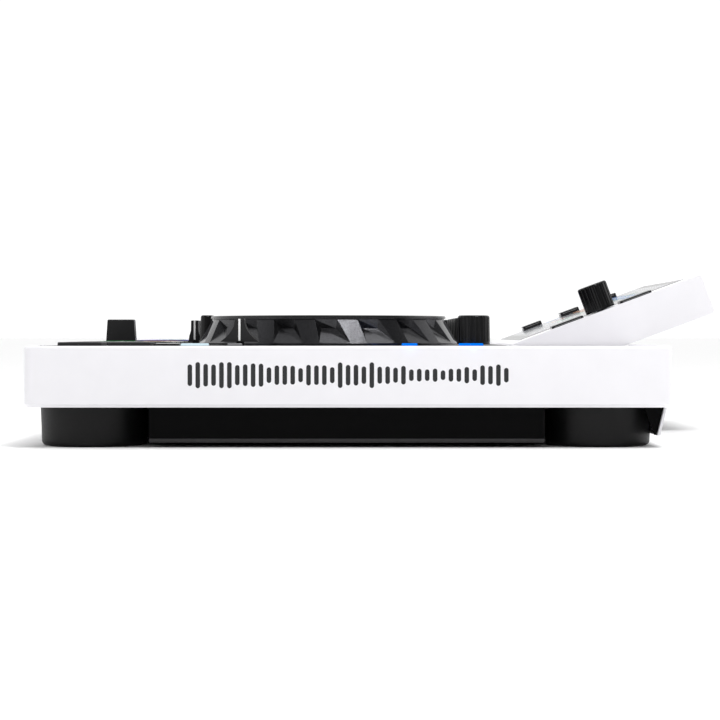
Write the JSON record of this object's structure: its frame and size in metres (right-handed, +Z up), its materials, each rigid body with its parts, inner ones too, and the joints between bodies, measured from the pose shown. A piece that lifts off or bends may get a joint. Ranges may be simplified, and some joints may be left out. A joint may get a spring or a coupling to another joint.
{
  "type": "dj controller",
  "caption": "Standalone DJ controller: white slab body on round feet, jog wheels with grip pockets, mixer with knobs and faders, and a raised tilting touch display.",
  "frame": {"origin": "centre of the object's box at the height of the surface it stands on, display raised", "axes": "+X the user's right, +Y the rear, +Z up; the user sits at -Y"},
  "size_m": [0.7286, 0.568, 0.1391],
  "materials": {
    "white_shell": "satin white",
    "tray_black": "matt black powder coat",
    "foot_rubber": "matt",
    "faceplate_black": "fine matt texture",
    "knob_black": "soft-touch black",
    "fader_black": "fine matt",
    "jog_rim": "dark metallic",
    "jog_top": "gloss black, fine turned rings",
    "display_glass": "polished black",
    "key_cap": "smooth",
    "pad_rubber": "translucent-look silicone",
    "socket_black": "moulded",
    "socket_metal": "plated",
    "steel": "zinc-plated",
    "circuit": "solder-mask green",
    "bearing": "turned"
  },
  "bodies": {
    "chassis": {"top_case": "white_shell", "bottom_tray": "tray_black", "feet": "foot_rubber", "rear_panel": "white_shell", "mixer_panel": "faceplate_black", "deck_panel_left": "faceplate_black", "deck_panel_right": "faceplate_black", "audio_sockets": "socket_black", "data_power_sockets": "socket_metal", "control_boards": "circuit", "main_board": "circuit", "power_supply": "steel", "jog_bearings": "bearing", "jog_displays": "display_glass", "fader_units": "steel", "case_screws": "steel", "screen_hinges": "steel"},
    "screen": {"screen_case": "white_shell", "screen_back": "tray_black", "screen_glass": "display_glass"},
    "screen_knob": {"screen_knob": "knob_black"},
    "screen_exit_button": {"screen_exit_button": "key_cap"},
    "screen_enter_button": {"screen_enter_button": "key_cap"},
    "screen_side_buttons": {"screen_side_buttons": "key_cap"},
    "crossfader": {"crossfader": "fader_black"},
    "channel_fader_1": {"channel_fader_1": "fader_black"},
    "high_knob_1": {"high_knob_1": "knob_black"},
    "mid_knob_1": {"mid_knob_1": "knob_black"},
    "low_knob_1": {"low_knob_1": "knob_black"},
    "channel_fader_2": {"channel_fader_2": "fader_black"},
    "high_knob_2": {"high_knob_2": "knob_black"},
    "mid_knob_2": {"mid_knob_2": "knob_black"},
    "low_knob_2": {"low_knob_2": "knob_black"},
    "channel_fader_3": {"channel_fader_3": "fader_black"},
    "high_knob_3": {"high_knob_3": "knob_black"},
    "mid_knob_3": {"mid_knob_3": "knob_black"},
    "low_knob_3": {"low_knob_3": "knob_black"},
    "channel_fader_4": {"channel_fader_4": "fader_black"},
    "high_knob_4": {"high_knob_4": "knob_black"},
    "mid_knob_4": {"mid_knob_4": "knob_black"},
    "low_knob_4": {"low_knob_4": "knob_black"},
    "phones_knob": {"phones_knob": "knob_black"},
    "master_knob": {"master_knob": "knob_black"},
    "mixer_keys": {"mixer_keys": "key_cap"},
    "jog_left": {"jog_wheel_left": "jog_rim", "jog_plate_left": "jog_top"},
    "pitch_fader_left": {"pitch_fader_left": "fader_black"},
    "loop_knob_left": {"loop_knob_left": "knob_black"},
    "play_button_left": {"play_button_left": "key_cap"},
    "cue_button_left": {"cue_button_left": "key_cap"},
    "pads_left": {"pads_left": "pad_rubber"},
    "deck_keys_left": {"deck_keys_left": "key_cap"},
    "jog_right": {"jog_wheel_right": "jog_rim", "jog_plate_right": "jog_top"},
    "pitch_fader_right": {"pitch_fader_right": "fader_black"},
    "loop_knob_right": {"loop_knob_right": "knob_black"},
    "play_button_right": {"play_button_right": "key_cap"},
    "cue_button_right": {"cue_button_right": "key_cap"},
    "pads_right": {"pads_right": "pad_rubber"},
    "deck_keys_right": {"deck_keys_right": "key_cap"}
  },
  "joints": [
    {"name": "screen_tilt", "type": "hinge", "parent": "chassis", "child": "screen", "pos_m": [0, 0.11694, 0.07368], "axis": [1, 0, 0], "range_deg": [-20.35, 0]},
    {"name": "screen_knob_turn", "type": "hinge", "parent": "screen", "child": "screen_knob", "pos_m": [0.132, 0.18673, 0.1081], "axis": [0, -0.3478, 0.9376], "continuous": true},
    {"name": "screen_exit_button_press", "type": "slide", "parent": "screen", "child": "screen_exit_button", "axis": [0, 0.3478, -0.9376], "range_m": [0, 0.001], "stiffness_N_per_m": 600},
    {"name": "screen_enter_button_press", "type": "slide", "parent": "screen", "child": "screen_enter_button", "axis": [0, 0.3478, -0.9376], "range_m": [0, 0.001], "stiffness_N_per_m": 600},
    {"name": "screen_side_buttons_press", "type": "slide", "parent": "screen", "child": "screen_side_buttons", "axis": [0, 0.3478, -0.9376], "range_m": [0, 0.001], "stiffness_N_per_m": 600},
    {"name": "crossfader_slide", "type": "slide", "parent": "chassis", "child": "crossfader", "axis": [1, 0, 0], "range_m": [-0.0225, 0.0225]},
    {"name": "channel_fader_1_slide", "type": "slide", "parent": "chassis", "child": "channel_fader_1", "axis": [0, 1, 0], "range_m": [0, 0.06]},
    {"name": "high_knob_1_turn", "type": "hinge", "parent": "chassis", "child": "high_knob_1", "pos_m": [-0.069, 0.06596, 0.079], "axis": [0, 0, 1], "range_deg": [-150, 150]},
    {"name": "mid_knob_1_turn", "type": "hinge", "parent": "chassis", "child": "mid_knob_1", "pos_m": [-0.069, 0.02796, 0.079], "axis": [0, 0, 1], "range_deg": [-150, 150]},
    {"name": "low_knob_1_turn", "type": "hinge", "parent": "chassis", "child": "low_knob_1", "pos_m": [-0.069, -0.01004, 0.079], "axis": [0, 0, 1], "range_deg": [-150, 150]},
    {"name": "channel_fader_2_slide", "type": "slide", "parent": "chassis", "child": "channel_fader_2", "axis": [0, 1, 0], "range_m": [0, 0.06]},
    {"name": "high_knob_2_turn", "type": "hinge", "parent": "chassis", "child": "high_knob_2", "pos_m": [-0.023, 0.06596, 0.079], "axis": [0, 0, 1], "range_deg": [-150, 150]},
    {"name": "mid_knob_2_turn", "type": "hinge", "parent": "chassis", "child": "mid_knob_2", "pos_m": [-0.023, 0.02796, 0.079], "axis": [0, 0, 1], "range_deg": [-150, 150]},
    {"name": "low_knob_2_turn", "type": "hinge", "parent": "chassis", "child": "low_knob_2", "pos_m": [-0.023, -0.01004, 0.079], "axis": [0, 0, 1], "range_deg": [-150, 150]},
    {"name": "channel_fader_3_slide", "type": "slide", "parent": "chassis", "child": "channel_fader_3", "axis": [0, 1, 0], "range_m": [0, 0.06]},
    {"name": "high_knob_3_turn", "type": "hinge", "parent": "chassis", "child": "high_knob_3", "pos_m": [0.023, 0.06596, 0.079], "axis": [0, 0, 1], "range_deg": [-150, 150]},
    {"name": "mid_knob_3_turn", "type": "hinge", "parent": "chassis", "child": "mid_knob_3", "pos_m": [0.023, 0.02796, 0.079], "axis": [0, 0, 1], "range_deg": [-150, 150]},
    {"name": "low_knob_3_turn", "type": "hinge", "parent": "chassis", "child": "low_knob_3", "pos_m": [0.023, -0.01004, 0.079], "axis": [0, 0, 1], "range_deg": [-150, 150]},
    {"name": "channel_fader_4_slide", "type": "slide", "parent": "chassis", "child": "channel_fader_4", "axis": [0, 1, 0], "range_m": [0, 0.06]},
    {"name": "high_knob_4_turn", "type": "hinge", "parent": "chassis", "child": "high_knob_4", "pos_m": [0.069, 0.06596, 0.079], "axis": [0, 0, 1], "range_deg": [-150, 150]},
    {"name": "mid_knob_4_turn", "type": "hinge", "parent": "chassis", "child": "mid_knob_4", "pos_m": [0.069, 0.02796, 0.079], "axis": [0, 0, 1], "range_deg": [-150, 150]},
    {"name": "low_knob_4_turn", "type": "hinge", "parent": "chassis", "child": "low_knob_4", "pos_m": [0.069, -0.01004, 0.079], "axis": [0, 0, 1], "range_deg": [-150, 150]},
    {"name": "phones_knob_turn", "type": "hinge", "parent": "chassis", "child": "phones_knob", "pos_m": [-0.092, -0.16704, 0.079], "axis": [0, 0, 1], "range_deg": [-150, 150]},
    {"name": "master_knob_turn", "type": "hinge", "parent": "chassis", "child": "master_knob", "pos_m": [0.092, -0.16704, 0.079], "axis": [0, 0, 1], "range_deg": [-150, 150]},
    {"name": "mixer_keys_press", "type": "slide", "parent": "chassis", "child": "mixer_keys", "axis": [0, 0, -1], "range_m": [0, 0.001], "stiffness_N_per_m": 2500},
    {"name": "jog_left_spin", "type": "hinge", "parent": "chassis", "child": "jog_left", "pos_m": [-0.25, -0.05374, 0.09], "axis": [0, 0, 1], "continuous": true},
    {"name": "pitch_fader_left_slide", "type": "slide", "parent": "chassis", "child": "pitch_fader_left", "axis": [0, 1, 0], "range_m": [0, 0.1]},
    {"name": "loop_knob_left_turn", "type": "hinge", "parent": "chassis", "child": "loop_knob_left", "pos_m": [-0.158, 0.06376, 0.079], "axis": [0, 0, 1], "continuous": true},
    {"name": "play_button_left_press", "type": "slide", "parent": "chassis", "child": "play_button_left", "axis": [0, 0, -1], "range_m": [0, 0.001], "stiffness_N_per_m": 800},
    {"name": "cue_button_left_press", "type": "slide", "parent": "chassis", "child": "cue_button_left", "axis": [0, 0, -1], "range_m": [0, 0.001], "stiffness_N_per_m": 800},
    {"name": "pads_left_press", "type": "slide", "parent": "chassis", "child": "pads_left", "axis": [0, 0, -1], "range_m": [0, 0.001], "stiffness_N_per_m": 4000},
    {"name": "deck_keys_left_press", "type": "slide", "parent": "chassis", "child": "deck_keys_left", "axis": [0, 0, -1], "range_m": [0, 0.001], "stiffness_N_per_m": 3000},
    {"name": "jog_right_spin", "type": "hinge", "parent": "chassis", "child": "jog_right", "pos_m": [0.212, -0.05374, 0.09], "axis": [0, 0, 1], "continuous": true},
    {"name": "pitch_fader_right_slide", "type": "slide", "parent": "chassis", "child": "pitch_fader_right", "axis": [0, 1, 0], "range_m": [0, 0.1]},
    {"name": "loop_knob_right_turn", "type": "hinge", "parent": "chassis", "child": "loop_knob_right", "pos_m": [0.304, 0.06376, 0.079], "axis": [0, 0, 1], "continuous": true},
    {"name": "play_button_right_press", "type": "slide", "parent": "chassis", "child": "play_button_right", "axis": [0, 0, -1], "range_m": [0, 0.001], "stiffness_N_per_m": 800},
    {"name": "cue_button_right_press", "type": "slide", "parent": "chassis", "child": "cue_button_right", "axis": [0, 0, -1], "range_m": [0, 0.001], "stiffness_N_per_m": 800},
    {"name": "pads_right_press", "type": "slide", "parent": "chassis", "child": "pads_right", "axis": [0, 0, -1], "range_m": [0, 0.001], "stiffness_N_per_m": 4000},
    {"name": "deck_keys_right_press", "type": "slide", "parent": "chassis", "child": "deck_keys_right", "axis": [0, 0, -1], "range_m": [0, 0.001], "stiffness_N_per_m": 3000}
  ]
}
